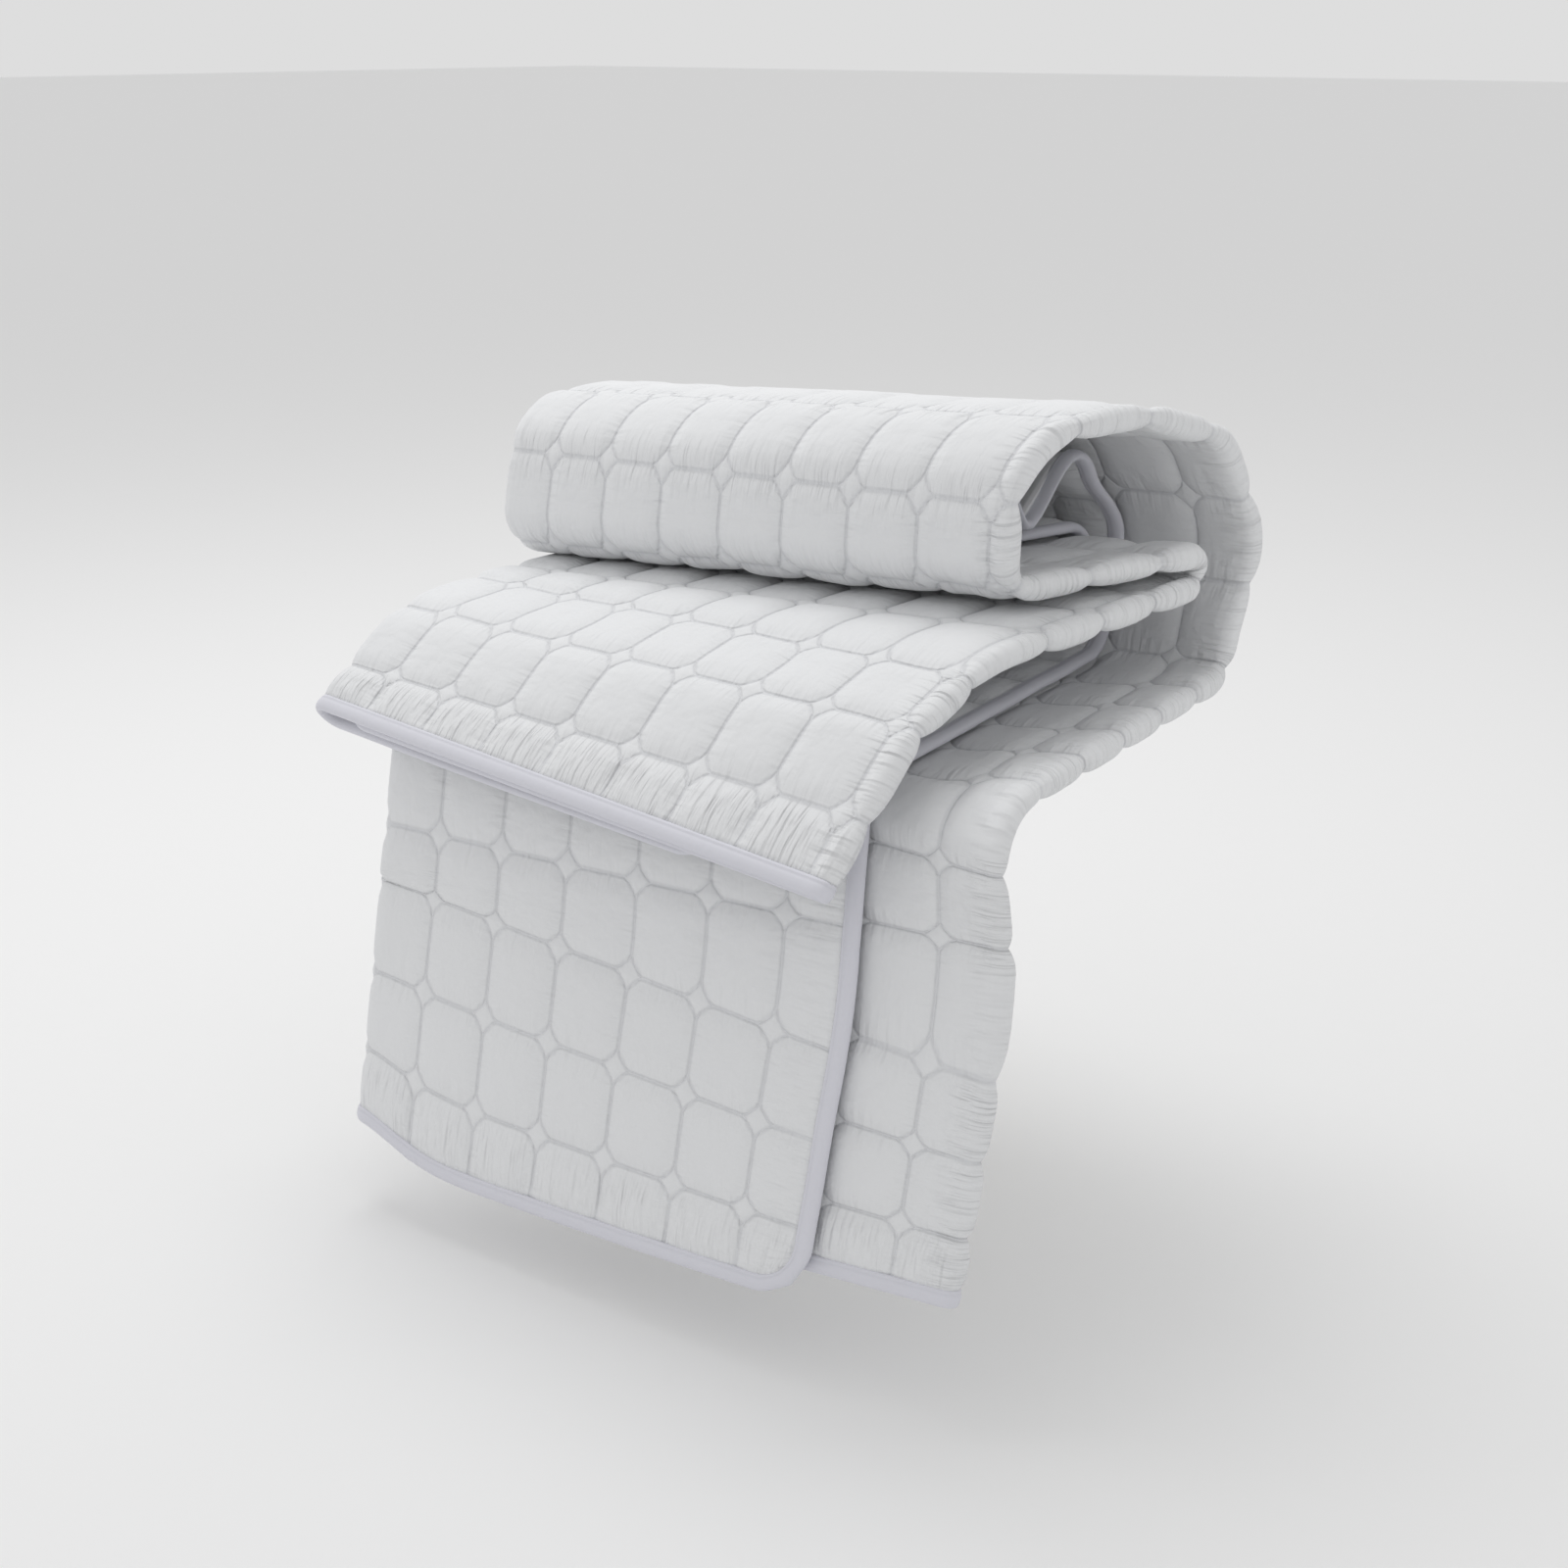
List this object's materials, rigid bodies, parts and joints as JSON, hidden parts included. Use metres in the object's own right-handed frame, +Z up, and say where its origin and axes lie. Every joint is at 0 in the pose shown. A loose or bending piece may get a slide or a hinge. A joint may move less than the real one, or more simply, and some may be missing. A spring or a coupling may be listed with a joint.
{
  "type": "rolled mattress protector on a low table",
  "caption": "Quilted mattress protector with a bound edge, folded along its length and wound into a loose roll on a low pedestal table, with an end hanging over the front edge.",
  "frame": {"origin": "centre of the table foot's underside, where it rests on the floor", "axes": "+X along the roll, from the end where the folded layers join to the end with the open strip; +Y from the hanging front to the back; +Z up"},
  "size_m": [0.733, 0.6126, 0.7357],
  "materials": {
    "quilted_pad": "smooth brushed polyester face, quilted, matt",
    "edge_binding": "woven binding tape, matt",
    "table": "satin off-white paint"
  },
  "bodies": {
    "root": {"quilted_pad": "quilted_pad", "edge_binding": "edge_binding", "table_top": "table", "table_column": "table", "table_foot": "table"}
  },
  "joints": []
}
